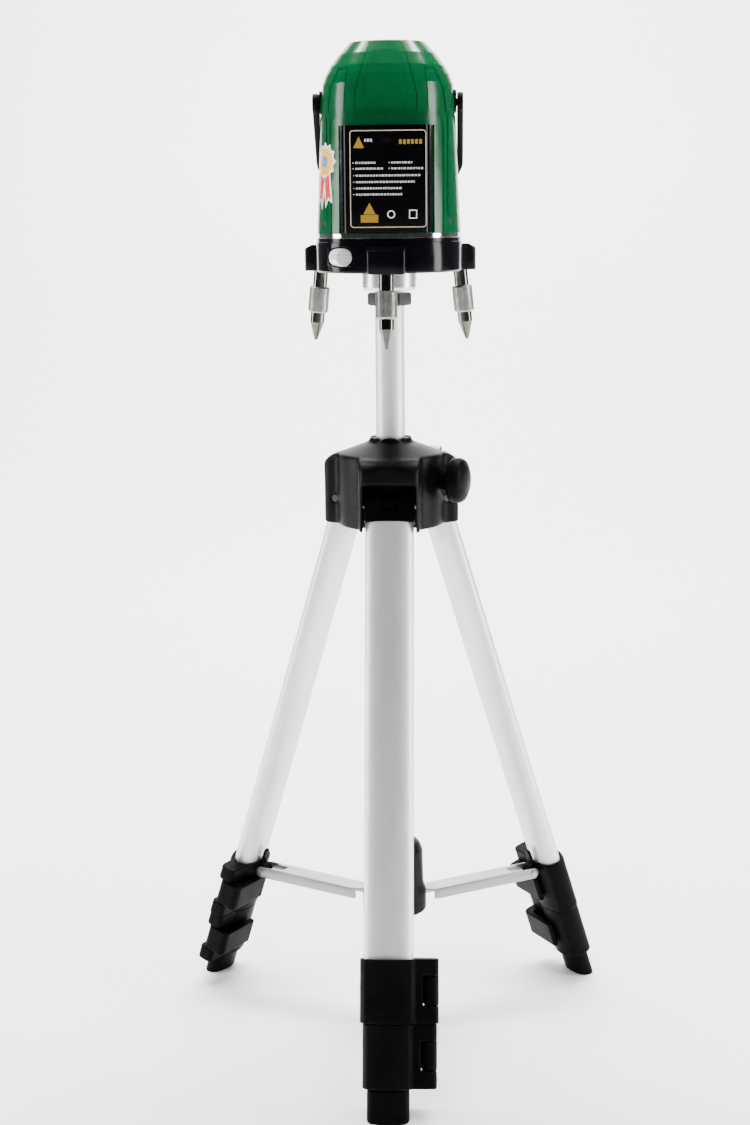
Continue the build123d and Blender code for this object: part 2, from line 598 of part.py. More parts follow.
def keypad_panel():
    """The keypad on the top of the dome, with a hole for its button."""
    panel = rod(TOP_R - 4.1, HOUSING_TOP - 2.6, HOUSING_TOP - 0.6)
    rim = rod(TOP_R - 2.8, HOUSING_TOP - 4.4, HOUSING_TOP - 2.5)
    return panel + rim - rod(6.3, HOUSING_TOP - 6, HOUSING_TOP + 1)


def power_button():
    """The sprung button in the keypad."""
    cap = rod(6.0, HOUSING_TOP - 5.2, HOUSING_TOP + 0.2)
    cap = fillet(cap.faces().sort_by(Axis.Z)[-1].edges(), 0.8)
    return cap + rod(7.4, HOUSING_TOP - 5.8, HOUSING_TOP - 4.7)


def battery_pack():
    """The battery pack's case, hollow for its cells, with the thumb dimple in its face."""
    case = pack_form(0.0)
    upright = case.edges().filter_by(Axis.Y)
    case = fillet(upright.filter_by_position(Axis.Z, PACK_TOP - 0.1, PACK_TOP + 0.1), 2.5)
    hollow = box_between((-28.2, PACK_FACE_Y + 1.2, PACK_BOTTOM + 1.6),
                         (28.2, PACK_BACK_Y - 0.8, PACK_TOP - 1.6))
    dimple = Pos(0.3, PACK_FACE_Y + 0.6 - 25.0, 621.0) * Sphere(25.0)
    return case - hollow - (dimple & box_between((-7.6, -60, 610), (8.2, PACK_FACE_Y + 0.6, 632)))


def battery_cells():
    """Three standard cells side by side."""
    cells = []
    middle = (PACK_TOP + PACK_BOTTOM) / 2
    for x in (-18.6, 0.0, 18.6):
        cells.append(Pos(x, PACK_BACK_Y - 1.0 - CELL_R, middle) * Cylinder(CELL_R - 0.05, CELL_LENGTH))
    return Compound(cells)


def strap_lugs():
    """The two lugs that the strap turns on."""
    lugs = []
    for side in (-1, 1):
        plate = box_between((41.6, -5.0, STRAP_Z - 6.5), (45.8, 5.0, STRAP_Z + 8.0))
        plate = fillet(plate.edges().filter_by(Axis.X).sort_by(Axis.Z)[-2:], 3.5)
        pin = Pos(48.0, 0, STRAP_Z) * Rot(0, 90, 0) * Cylinder(2.5, 4.6)
        lug = plate + pin
        lugs.append(lug if side > 0 else mirror(lug, Plane.YZ))
    return Compound(lugs)


def strap_curve(half, straight, reach):
    """Half a strap outline in its own plane, from the far bow back to the lug."""
    return [(half * cos(radians(a)), straight + (reach - straight) * sin(radians(a)))
            for a in range(90, -1, -15)] + [(half, 0)]


def carry_strap():
    """The moulded strap, hanging on the far side."""
    outer = strap_curve(50.4, STRAP_STRAIGHT, STRAP_REACH)
    inner = strap_curve(46.2, STRAP_STRAIGHT, STRAP_REACH - STRAP_THICK)
    outer_line = Spline(*outer[:-1], tangents=((1, 0), (0, -1)))
    inner_line = Spline(*inner[:-1], tangents=((1, 0), (0, -1)))
    right_out = Line(outer[-2], (50.4, 0))
    right_end = Line((50.4, 0), (46.2, 0))
    right_in = Line((46.2, 0), inner[-2])
    middle = Line(inner[0], outer[0])
    half = make_face(outer_line + right_out + right_end + right_in + inner_line + middle)
    band = extrude(half, 5.25, both=True)
    knuckle = Pos(48.3, 0, 0) * Rot(0, 90, 0) * Cylinder(6.6, 4.2)
    arm = band + knuckle
    strap = arm + mirror(arm, Plane.YZ)
    strap = strap - Rot(0, 90, 0) * Cylinder(2.5 + PIN_CLEARANCE, 120)
    return Pos(0, 0, STRAP_Z) * Rot(-STRAP_SAG, 0, 0) * strap


def gimbal_ring():
    """The outer ring of the gimbal; it tilts about X on two stub axles."""
    band = ring(20.0, 16.5, GIMBAL_Z - 4, GIMBAL_Z + 4)
    axle = Pos(0, 0, GIMBAL_Z) * Rot(0, 90, 0) * Cylinder(1.5, 47)
    bores = Pos(0, 0, GIMBAL_Z) * Rot(90, 0, 0) * Cylinder(1.5 + PIN_CLEARANCE, 60)
    return band + (axle - rod(17, GIMBAL_Z - 5, GIMBAL_Z + 5)) - bores


def gimbal_brackets():
    """Two posts inside the housing that hold the gimbal's axles."""
    solids = []
    for side in (-1, 1):
        post = box_between((20.7, -4, GIMBAL_Z - 4), (40.0, 4, GIMBAL_Z + 4))
        post = post - Pos(22, 0, GIMBAL_Z) * Rot(0, 90, 0) * Cylinder(1.5 + PIN_CLEARANCE, 8)
        solids.append(post if side > 0 else mirror(post, Plane.YZ))
    return solids


def pendulum():
    """The swinging block with its laser modules, hung in the gimbal ring."""
    block = rod(12.5, GIMBAL_Z - 48, GIMBAL_Z + 8)
    axle = Pos(0, 0, GIMBAL_Z) * Rot(90, 0, 0) * Cylinder(1.5, 39)
    weight = rod(10.0, GIMBAL_Z - 66, GIMBAL_Z - 47)
    front = Pos(0, 13.5, GIMBAL_Z - 18) * Rot(90, 0, 0) * Cylinder(5.0, 9)
    cap = Pos(0, 10, GIMBAL_Z - 36) * Rot(90, 0, 0) * Cylinder(5.0, 14)
    return block + axle + weight + front + cap


NODES = {}

make_legs()
write("spreader_hub", spreader_hub())
write("head_casting", head_casting())
write("leg_hinge_pins", leg_hinge_pins())
write("head_bubble", Rot(0, 0, LEG_AZIMUTHS[1]) * Pos(34, 0, 0) * rod(5.85, 412.05, 417.6))
write("column_lock_knob", column_lock_knob())
write("center_column", center_column())
write("lock_nut", lock_nut())
write("mount_adapter", mount_adapter())
write("level_base", level_base())
write("fine_knob", fine_knob())
write("turntable", turntable())
levelling_feet()
shell = housing_shell()
for post in gimbal_brackets():
    shell = shell + (post & dome_solid(1.2, HOUSING_BOTTOM))
write("housing_shell", shell)
write("turning_ring", turning_ring())
write("laser_windows", laser_windows())
write("housing_screws", housing_screws())
write("keypad_panel", keypad_panel())
write("power_button", power_button())
write("battery_pack", battery_pack())
write("battery_cells", battery_cells())
write("strap_lugs", strap_lugs())
write("carry_strap", carry_strap())
write("gimbal_ring", gimbal_ring())
write("pendulum", pendulum())

whole = Compound(children=list(NODES.values())).bounding_box()
print(len(NODES), "nodes; box", whole.min, whole.max, "centre", whole.center())
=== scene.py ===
"""Looks for the laser level on its tripod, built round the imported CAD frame. Lengths are in metres."""
import json
import random
from math import cos, pi, radians, sin

import bmesh
import bpy
from mathutils import Matrix, Vector

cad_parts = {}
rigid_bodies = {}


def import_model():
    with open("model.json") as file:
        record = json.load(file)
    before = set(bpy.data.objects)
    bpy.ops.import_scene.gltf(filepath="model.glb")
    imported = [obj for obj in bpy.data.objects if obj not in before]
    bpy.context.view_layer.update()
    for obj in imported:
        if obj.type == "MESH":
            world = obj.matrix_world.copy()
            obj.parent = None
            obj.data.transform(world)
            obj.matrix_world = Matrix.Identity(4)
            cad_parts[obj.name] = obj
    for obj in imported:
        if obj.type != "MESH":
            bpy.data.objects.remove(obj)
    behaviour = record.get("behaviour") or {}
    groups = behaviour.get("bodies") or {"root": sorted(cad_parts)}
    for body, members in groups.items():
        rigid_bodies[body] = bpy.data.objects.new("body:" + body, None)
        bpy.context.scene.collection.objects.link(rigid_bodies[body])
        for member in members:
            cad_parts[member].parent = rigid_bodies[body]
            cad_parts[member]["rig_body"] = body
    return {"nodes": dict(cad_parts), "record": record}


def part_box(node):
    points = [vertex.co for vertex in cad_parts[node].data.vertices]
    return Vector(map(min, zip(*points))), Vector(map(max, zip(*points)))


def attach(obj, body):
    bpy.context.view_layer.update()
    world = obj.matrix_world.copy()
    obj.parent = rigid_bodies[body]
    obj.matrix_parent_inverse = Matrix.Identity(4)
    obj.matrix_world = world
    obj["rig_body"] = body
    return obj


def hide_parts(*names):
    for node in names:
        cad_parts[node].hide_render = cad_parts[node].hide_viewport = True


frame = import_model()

MM = 0.001
FOOT_SPLAY = radians(6.5)
LEG_ANGLE = radians(18.56)
HINGE_R = 33.0 * MM
HINGE_Z = 384.0 * MM
OVAL_POWER = 2.15                 # 2 is a plain ellipse, and more is squarer
TUBE_WALL = 1.1 * MM
BRACE_HALF_WIDTH = 7.5 * MM
CROWN_HEIGHT = 33.5 * MM
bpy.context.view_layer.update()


# ---------------------------------------------------------------- places read from the frame
def middle(node):
    low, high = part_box(node)
    return (low + high) / 2


AXIS_X = middle("center_column").x
AXIS_Y = middle("center_column").y
SHELL_LOW, SHELL_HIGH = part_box("housing_shell")
PACK_LOW, PACK_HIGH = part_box("battery_pack")
NODES = frame["nodes"]
SLOTS = {row["node"]: row["material_slot"] for row in frame["record"]["subparts"]}


# ---------------------------------------------------------------- material helpers
def new_material(name):
    material = bpy.data.materials.new(name)
    material.use_nodes = True
    tree = material.node_tree
    tree.nodes.clear()
    out = tree.nodes.new("ShaderNodeOutputMaterial")
    shader = tree.nodes.new("ShaderNodeBsdfPrincipled")
    tree.links.new(shader.outputs["BSDF"], out.inputs["Surface"])
    return material, tree, shader


def coordinates(tree, scale=(1, 1, 1)):
    """Object coordinates, stretched by a scale."""
    coords = tree.nodes.new("ShaderNodeTexCoord")
    mapping = tree.nodes.new("ShaderNodeMapping")
    mapping.inputs["Scale"].default_value = scale
    tree.links.new(coords.outputs["Object"], mapping.inputs["Vector"])
    return mapping.outputs["Vector"]


def noise(tree, vector, scale, detail=4.0, roughness=0.55):
    node = tree.nodes.new("ShaderNodeTexNoise")
    node.inputs["Scale"].default_value = scale
    node.inputs["Detail"].default_value = detail
    node.inputs["Roughness"].default_value = roughness
    tree.links.new(vector, node.inputs["Vector"])
    return node.outputs["Fac"]


def spread(tree, value, low, high, start=0.3, stop=0.7):
    """Map a noise value to a range."""
    node = tree.nodes.new("ShaderNodeMapRange")
    node.inputs["From Min"].default_value = start
    node.inputs["From Max"].default_value = stop
    node.inputs["To Min"].default_value = low
    node.inputs["To Max"].default_value = high
    tree.links.new(value, node.inputs["Value"])
    return node.outputs["Result"]


def two_colours(tree, factor, first, second):
    node = tree.nodes.new("ShaderNodeMix")
    node.data_type = "RGBA"
    node.inputs["A"].default_value = (*first, 1)
    node.inputs["B"].default_value = (*second, 1)
    tree.links.new(factor, node.inputs["Factor"])
    return node.outputs["Result"]


def edge_mask(tree, radius=0.5 * MM):
    """Where the surface bends sharply, so that its edges can look rubbed."""
    soft = tree.nodes.new("ShaderNodeBevel")
    soft.samples = 4
    soft.inputs["Radius"].default_value = radius
    geometry = tree.nodes.new("ShaderNodeNewGeometry")
    dot = tree.nodes.new("ShaderNodeVectorMath")
    dot.operation = "DOT_PRODUCT"
    tree.links.new(soft.outputs["Normal"], dot.inputs[0])
    tree.links.new(geometry.outputs["Normal"], dot.inputs[1])
    return spread(tree, dot.outputs["Value"], 1.0, 0.0, 0.90, 0.995)


def multiply(tree, first, second):
    node = tree.nodes.new("ShaderNodeMath")
    node.operation = "MULTIPLY"
    tree.links.new(first, node.inputs[0])
    tree.links.new(second, node.inputs[1])
    return node.outputs[0]


def bump(tree, shader, height, strength, distance):
    node = tree.nodes.new("ShaderNodeBump")
    node.inputs["Strength"].default_value = strength
    node.inputs["Distance"].default_value = distance
    tree.links.new(height, node.inputs["Height"])
    tree.links.new(node.outputs["Normal"], shader.inputs["Normal"])


def surface(name, colour, shade, rough, metallic=0.0, grain=900.0, grain_depth=0.00004, grain_strength=0.15,
            stretch=(1, 1, 1), wear=None, coat=0.0, specular=0.5, blotch=35.0):
    """A moulded or machined surface: mottled colour, uneven gloss, fine grain and rubbed edges."""
    material, tree, shader = new_material(name)
    vector = coordinates(tree, stretch)
    patches = noise(tree, vector, blotch, 5.0)
    tone = two_colours(tree, spread(tree, patches, 0.0, 1.0), colour, shade)
    if wear is not None:
        patchy = spread(tree, noise(tree, vector, 260.0), 0.0, 0.7, 0.42, 0.66)
        rubbed = multiply(tree, edge_mask(tree), patchy)
        mix = tree.nodes.new("ShaderNodeMix")
        mix.data_type = "RGBA"
        mix.inputs["B"].default_value = (*wear, 1)
        tree.links.new(tone, mix.inputs["A"])
        tree.links.new(rubbed, mix.inputs["Factor"])
        tone = mix.outputs["Result"]
    tree.links.new(tone, shader.inputs["Base Color"])
    smears = noise(tree, vector, blotch * 2.2, 6.0, 0.65)
    tree.links.new(spread(tree, smears, rough[0], rough[1]), shader.inputs["Roughness"])
    bump(tree, shader, noise(tree, vector, grain, 3.0), grain_strength, grain_depth)
    shader.inputs["Metallic"].default_value = metallic
    shader.inputs["Coat Weight"].default_value = coat
    shader.inputs["Coat Roughness"].default_value = 0.06
    shader.inputs["Specular IOR Level"].default_value = specular
    return material


def clear(name, colour, rough, ior=1.46):
    """Clear plastic or glass with faint smears."""
    material, tree, shader = new_material(name)
    vector = coordinates(tree)
    tree.links.new(two_colours(tree, noise(tree, vector, 60.0), colour, tuple(c * 0.93 for c in colour)),
                   shader.inputs["Base Color"])
    tree.links.new(spread(tree, noise(tree, vector, 120.0), rough, rough + 0.06), shader.inputs["Roughness"])
    bump(tree, shader, noise(tree, vector, 300.0), 0.03, 0.00003)
    shader.inputs["Transmission Weight"].default_value = 0.9
    shader.inputs["IOR"].default_value = ior
    return material


def make_materials():
    """Every finish on the object, by name."""
    made = {}
    made["green"] = surface("green_gloss", (0.0007, 0.072, 0.022), (0.0005, 0.058, 0.017), (0.15, 0.22),
                            specular=0.24, wear=(0.008, 0.12, 0.045), grain=700.0, grain_strength=0.10)
    made["black_gloss"] = surface("black_gloss", (0.0012, 0.0012, 0.0015), (0.0022, 0.0022, 0.0026),
                                  (0.12, 0.20), specular=0.09, wear=(0.012, 0.012, 0.014), grain=700.0,
                                  grain_strength=0.08)
    made["base_black"] = surface("base_black", (0.0016, 0.0016, 0.0024), (0.003, 0.003, 0.0045), (0.10, 0.16),
                                 specular=0.16, wear=(0.015, 0.015, 0.018), grain=800.0, grain_strength=0.12)
    made["satin_black"] = surface("satin_black", (0.0012, 0.0012, 0.0013), (0.0028, 0.0027, 0.0025),
                                  (0.38, 0.50), specular=0.03, wear=(0.012, 0.0115, 0.011), grain=1700.0,
                                  grain_depth=0.00006, grain_strength=0.35)
    made["head_black"] = surface("head_black", (0.0013, 0.0013, 0.0015), (0.003, 0.003, 0.003), (0.34, 0.44),
                                 wear=(0.012, 0.012, 0.012), specular=0.06, grain=1500.0, grain_depth=0.00006,
                                 grain_strength=0.3)
    made["rubber"] = surface("strap_rubber", (0.0016, 0.0016, 0.0016), (0.0034, 0.0034, 0.0034), (0.42, 0.6),
                             wear=(0.012, 0.012, 0.012), specular=0.05, grain=2200.0, grain_depth=0.00005,
                             grain_strength=0.4)
    made["aluminium"] = surface("anodised_aluminium", (0.79, 0.795, 0.80), (0.73, 0.735, 0.745), (0.46, 0.56),
                                metallic=0.75, grain=160.0, stretch=(9, 9, 0.25), grain_depth=0.00003,
                                grain_strength=0.12, wear=(0.9, 0.9, 0.9), blotch=9.0)
    made["brace"] = surface("brace_aluminium", (0.36, 0.363, 0.368), (0.30, 0.303, 0.308), (0.34, 0.48),
                            metallic=0.85, grain=420.0, grain_depth=0.00004, grain_strength=0.25,
                            wear=(0.72, 0.72, 0.72), blotch=28.0)
    made["steel"] = surface("polished_steel", (0.155, 0.146, 0.132), (0.115, 0.109, 0.098), (0.13, 0.21),
                            metallic=1.0, grain=500.0, grain_strength=0.05, wear=(0.36, 0.345, 0.32))
    made["chrome"] = surface("bright_chrome", (0.84, 0.83, 0.81), (0.78, 0.77, 0.75), (0.05, 0.12),
                             metallic=1.0, grain=500.0, grain_strength=0.04, wear=(0.9, 0.9, 0.88))
    made["knurl"] = surface("knurled_steel", (0.42, 0.405, 0.38), (0.30, 0.29, 0.27), (0.28, 0.42),
                            metallic=0.8, grain=1400.0, grain_depth=0.00006, grain_strength=0.3,
                            wear=(0.68, 0.665, 0.64))
    made["satin"] = surface("turned_steel", (0.82, 0.815, 0.805), (0.76, 0.755, 0.745), (0.24, 0.34),
                            metallic=0.8, stretch=(1, 1, 7), grain=700.0, grain_strength=0.12,
                            wear=(0.92, 0.92, 0.9))
    made["knob_face"] = surface("turned_knob", (0.93, 0.93, 0.925), (0.88, 0.88, 0.875), (0.22, 0.32),
                                metallic=0.35, stretch=(1, 1, 7), grain=700.0, grain_strength=0.12,
                                wear=(0.96, 0.96, 0.95))
    made["nut"] = surface("dark_nut", (0.028, 0.029, 0.029), (0.045, 0.046, 0.046), (0.34, 0.48),
                          metallic=0.4, grain=900.0, grain_strength=0.3, wear=(0.3, 0.3, 0.3))
    made["cast"] = surface("cast_metal", (0.35, 0.35, 0.36), (0.26, 0.26, 0.27), (0.4, 0.6), metallic=1.0,
                           grain=1200.0, grain_strength=0.4, wear=(0.6, 0.6, 0.6))
    made["cells"] = surface("cell_wrap", (0.02, 0.12, 0.42), (0.02, 0.09, 0.33), (0.25, 0.4),
                            wear=(0.1, 0.2, 0.5))
    made["button"] = surface("button_rubber", (0.30, 0.31, 0.31), (0.24, 0.25, 0.25), (0.45, 0.6),
                             wear=(0.45, 0.45, 0.45), grain=1800.0, grain_strength=0.3)
    made["gold"] = surface("printed_gold", (0.46, 0.28, 0.035), (0.38, 0.23, 0.025), (0.3, 0.45),
                           metallic=0.35, grain=1500.0, grain_strength=0.15, wear=(0.70, 0.52, 0.20))
    made["cream"] = surface("printed_cream", (0.70, 0.58, 0.42), (0.60, 0.49, 0.34), (0.3, 0.45),
                            metallic=0.2, grain=1500.0, grain_strength=0.15, wear=(0.78, 0.68, 0.52))
    made["pale"] = surface("printed_pale", (0.55, 0.55, 0.54), (0.46, 0.46, 0.46), (0.35, 0.5), grain=1500.0,
                           wear=(0.66, 0.66, 0.65))
    made["white"] = surface("sticker_white", (0.86, 0.86, 0.87), (0.80, 0.80, 0.81), (0.2, 0.32), coat=0.4,
                            grain=1200.0, wear=(0.92, 0.92, 0.92))
    made["yellow"] = surface("sticker_yellow", (0.90, 0.58, 0.04), (0.88, 0.40, 0.03), (0.2, 0.32), coat=0.4,
                             blotch=120.0, wear=(0.92, 0.70, 0.20))
    made["red"] = surface("sticker_red", (0.72, 0.035, 0.03), (0.60, 0.03, 0.03), (0.2, 0.32), coat=0.4,
                          blotch=120.0, wear=(0.80, 0.15, 0.13))
    made["blue"] = surface("sticker_blue", (0.16, 0.28, 0.55), (0.12, 0.20, 0.45), (0.2, 0.32), coat=0.4,
                           wear=(0.30, 0.42, 0.66))
    made["glass"] = clear("window_glass", (0.86, 0.9, 0.9), 0.02)
    made["vial"] = clear("vial_fluid", (0.70, 0.86, 0.25), 0.03, 1.4)
    return made


MATERIALS = make_materials()


def material_for(node):
    """The finish of a carried-over CAD node."""
    exact = {"housing_shell": "green", "battery_pack": "black_gloss", "level_base": "base_black",
             "turntable": "base_black", "keypad_panel": "black_gloss", "carry_strap": "rubber",
             "strap_lugs": "rubber", "battery_cells": "cells", "laser_windows": "glass",
             "head_bubble": "vial", "turning_ring": "chrome", "foot_sleeves": "steel",
             "housing_screws": "chrome", "fine_knob": "knob_face", "mount_adapter": "satin",
             "leg_hinge_pins": "steel", "lock_nut": "nut", "gimbal_ring": "cast", "pendulum": "cast",
             "power_button": "button", "center_column": "aluminium", "head_casting": "head_black",
             "spreader_hub": "head_black", "column_lock_knob": "satin_black"}
    if node in exact:
        return exact[node]
    if node.startswith("brace"):
        return "brace"
    if node.endswith("_tube"):
        return "aluminium"
    if node.startswith("foot_tip"):
        return "steel"
    if node.startswith("foot_knurl"):
        return "knurl"
    return "satin_black"


def paint(piece, name):
    piece.data.materials.clear()
    piece.data.materials.append(MATERIALS[name])


def dress_frame():
    for name, node in NODES.items():
        for index in range(len(node.material_slots)):
            node.material_slots[index].link = "OBJECT"
            node.material_slots[index].material = MATERIALS[material_for(name)]


# ---------------------------------------------------------------- mesh helpers
def add_piece(name, mesh, body, finish, slot, smooth_angle=35.0):
    piece = bpy.data.objects.new(name, mesh)
    bpy.context.scene.collection.objects.link(piece)
    paint(piece, finish)
    if smooth_angle:
        for polygon in mesh.polygons:
            polygon.use_smooth = True
        mesh.set_sharp_from_angle(angle=radians(smooth_angle))
    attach(piece, body)
    return piece


def mesh_of(name, vertices, faces):
    mesh = bpy.data.meshes.new(name)
    mesh.from_pydata([tuple(v) for v in vertices], [], faces)
    mesh.update()
    return mesh


def closed_mesh(name, vertices, faces):
    """A closed mesh whose faces all look outward."""
    mesh = mesh_of(name, vertices, faces)
    work = bmesh.new()
    work.from_mesh(mesh)
    bmesh.ops.recalc_face_normals(work, faces=work.faces)
    work.to_mesh(mesh)
    work.free()
    return mesh


def stand_for(piece, node):
    """Finish a piece that takes the place of a CAD node."""
    paint(piece, material_for(node))
    for polygon in piece.data.polygons:
        polygon.use_smooth = True
    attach(piece, NODES[node]["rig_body"])
    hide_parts(node)


def rounded_copy(node, width, segments=2, angle=38.0):
    """A copy of a CAD node with its sharp edges rounded, which stands for the node."""
    source = NODES[node]
    work = bmesh.new()
    work.from_mesh(source.data)
    bmesh.ops.remove_doubles(work, verts=work.verts, dist=0.000004)
    bmesh.ops.dissolve_limit(work, angle_limit=radians(1.0), verts=work.verts, edges=work.edges)
    mesh = bpy.data.meshes.new(node + "_skin")
    work.to_mesh(mesh)
    work.free()
    piece = bpy.data.objects.new(node + "_skin", mesh)
    bpy.context.scene.collection.objects.link(piece)
    bevel = piece.modifiers.new("edges", "BEVEL")
    bevel.width = width
    bevel.segments = segments
    bevel.limit_method = "ANGLE"
    bevel.angle_limit = radians(angle)
    bevel.use_clamp_overlap = True
    bevel.harden_normals = False
    bpy.context.view_layer.objects.active = piece
    bpy.ops.object.modifier_apply(modifier="edges")
    stand_for(piece, node)
    piece.data.set_sharp_from_angle(angle=radians(34.0))


def moulded_copy(node, grain, passes, keep=0.3):
    """A copy of a CAD node melted into one softly rounded casting, which stands for the node."""
    source = NODES[node]
    piece = bpy.data.objects.new(node + "_casting", source.data.copy())
    bpy.context.scene.collection.objects.link(piece)
    melt = piece.modifiers.new("melt", "REMESH")
    melt.mode = "VOXEL"
    melt.voxel_size = grain
    melt.adaptivity = 0.0
    relax = piece.modifiers.new("relax", "SMOOTH")
    relax.factor = 0.5
    relax.iterations = passes
    thin = piece.modifiers.new("thin", "DECIMATE")
    thin.ratio = keep
    bpy.context.view_layer.objects.active = piece
    for name in ("melt", "relax", "thin"):
        bpy.ops.object.modifier_apply(modifier=name)
    stand_for(piece, node)


# ---------------------------------------------------------------- the pack's label
def plates(name, outlines, place, finish, body, slot):
    """Thin plates from flat outlines, put on a surface by place(u, v, lift)."""
    vertices, faces = [], []
    for outline in outlines:
        start = len(vertices)
        count = len(outline)
        vertices += [place(u, v, 0.0) for u, v in outline]
        vertices += [place(u, v, 1.0) for u, v in outline]
        faces.append([start + count + i for i in range(count)])
        faces.append([start + i for i in reversed(range(count))])
        for i in range(count):
            j = (i + 1) % count
            faces.append([start + i, start + j, start + count + j, start + count + i])
    return add_piece(name, closed_mesh(name, vertices, faces), body, finish, slot, None)


def bar(x, z, width, height):
    return [(x, z), (x + width, z), (x + width, z - height), (x, z - height)]


def rounded_frame(width, height, radius, line):
    """The four straight bars and four corners of a rounded frame, as short plates."""
    pieces = []
    inner_w, inner_h = width / 2 - radius, height / 2 - radius
    for sign in (-1, 1):
        low, high = sorted((sign * width / 2, sign * (width / 2 - line)))
        pieces.append([(low, -inner_h), (high, -inner_h), (high, inner_h), (low, inner_h)])
        low, high = sorted((sign * height / 2, sign * (height / 2 - line)))
        pieces.append([(-inner_w, low), (inner_w, low), (inner_w, high), (-inner_w, high)])
    for turn in range(4):
        centre_x = inner_w if turn in (0, 3) else -inner_w
        centre_z = inner_h if turn in (0, 1) else -inner_h
        for step in range(5):
            a = radians(90 * turn + 18 * step)
            b = radians(90 * turn + 18 * (step + 1))
            pieces.append([(centre_x + radius * cos(a), centre_z + radius * sin(a)),
                           (centre_x + radius * cos(b), centre_z + radius * sin(b)),
                           (centre_x + (radius - line) * cos(b), centre_z + (radius - line) * sin(b)),
                           (centre_x + (radius - line) * cos(a), centre_z + (radius - line) * sin(a))])
    return pieces


def dash_row(x, z, length, seed, height=1.25):
    """A row of short plain dashes that stands for a line of small print."""
    rng = random.Random(seed)
    dashes, at = [], x
    while at < x + length - 0.6:
        width = min(rng.uniform(0.9, 1.7), x + length - at)
        dashes.append(bar(at, z, width, height))
        at += width + rng.uniform(0.45, 0.7)
    return dashes


def battery_label():
    """A framed label with plain triangles, dashes and bars, printed on the pack's face."""
    width, height = 49.6, 61.8
    centre = Vector((AXIS_X + 1.5 * MM, PACK_LOW.y, PACK_HIGH.z - 34.2 * MM))

    def place(u, v, lift):
        return (centre.x + u * MM, centre.y - (0.03 + 0.09 * lift) * MM, centre.z + v * MM)

    left, top = -width / 2, height / 2
    frame_bars = rounded_frame(width, height, 2.2, 0.55)
    plates("label_frame", frame_bars, place, "cream", "battery", "black_gloss")
    gold = []
    for x, z, w, h in ((5.9, 11.2, 7.0, 7.2), (12.5, 53.3, 8.0, 7.4)):
        gold.append([(left + x - w / 2, top - z), (left + x + w / 2, top - z), (left + x, top - z + h)])
    gold.append(bar(left + 6.8, top - 53.6, 11.4, 4.9))
    for step in range(6):
        gold.append(bar(left + 32.0 + 2.6 * step, top - 6.0, 1.7, 2.9))
    plates("label_gold", gold, place, "gold", "battery", "black_gloss")
    pale = dash_row(left + 9.6, top - 5.4, 5.6, 1, 1.9)
    for x, z, length, seed in ((3.6, 19.9, 14.0, 2), (26.8, 19.9, 13.6, 3), (3.6, 23.6, 18.4, 4),
                               (26.8, 23.6, 20.6, 5), (3.9, 28.0, 43.0, 6), (3.9, 32.1, 38.0, 7),
                               (3.9, 36.1, 30.5, 8), (3.9, 40.0, 30.5, 9)):
        pale += dash_row(left + x, top - z, length, seed)
        pale.append(bar(left + x - 1.7, top - z - 0.3, 0.65, 0.65))
    plates("label_print", pale, place, "pale", "battery", "black_gloss")
    icons = []
    ring_x, ring_z = left + 26.6, top - 53.4
    for step in range(12):
        a, b = radians(30 * step), radians(30 * (step + 1))
        icons.append([(ring_x + radius * cos(turn), ring_z + radius * sin(turn))
                      for radius, turn in ((2.6, a), (2.6, b), (1.9, b), (1.9, a))])
    icons.append(bar(left + 38.2, top - 50.6, 5.2, 0.6))
    icons.append(bar(left + 38.2, top - 55.6, 5.2, 0.6))
    icons.append(bar(left + 38.2, top - 51.2, 0.6, 4.4))
    icons.append(bar(left + 42.8, top - 51.2, 0.6, 4.4))
    plates("label_icons", icons, place, "white", "battery", "black_gloss")


# ---------------------------------------------------------------- the sticker on the flank
def shell_radius(z):
    """The housing's radius at a height on its tapered part."""
    low_r, high_r = 48.6 * MM, 44.4 * MM
    low_z = SHELL_LOW.z
    high_z = SHELL_HIGH.z - CROWN_HEIGHT
    return low_r + (high_r - low_r) * (z - low_z) / (high_z - low_z)


def star(points, outer, inner, centre=(0.0, 0.0)):
    shape = []
    for step in range(2 * points):
        radius = outer if step % 2 == 0 else inner
        a = pi * step / points + pi / 2
        shape.append((centre[0] + radius * cos(a), centre[1] + radius * sin(a)))
    return shape


def fan(outline, centre, rings=4):
    """Split a star-shaped outline into small quads, so that it can bend round the drum."""
    cells = []
    count = len(outline)
    for i in range(count):
        a, b = outline[i], outline[(i + 1) % count]
        for ring in range(rings):
            s, t = ring / rings, (ring + 1) / rings
            near_a = (centre[0] + (a[0] - centre[0]) * s, centre[1] + (a[1] - centre[1]) * s)
            near_b = (centre[0] + (b[0] - centre[0]) * s, centre[1] + (b[1] - centre[1]) * s)
            far_a = (centre[0] + (a[0] - centre[0]) * t, centre[1] + (a[1] - centre[1]) * t)
            far_b = (centre[0] + (b[0] - centre[0]) * t, centre[1] + (b[1] - centre[1]) * t)
            cells.append([near_a, far_a, far_b, near_b] if ring else [near_a, far_a, far_b])
    return cells


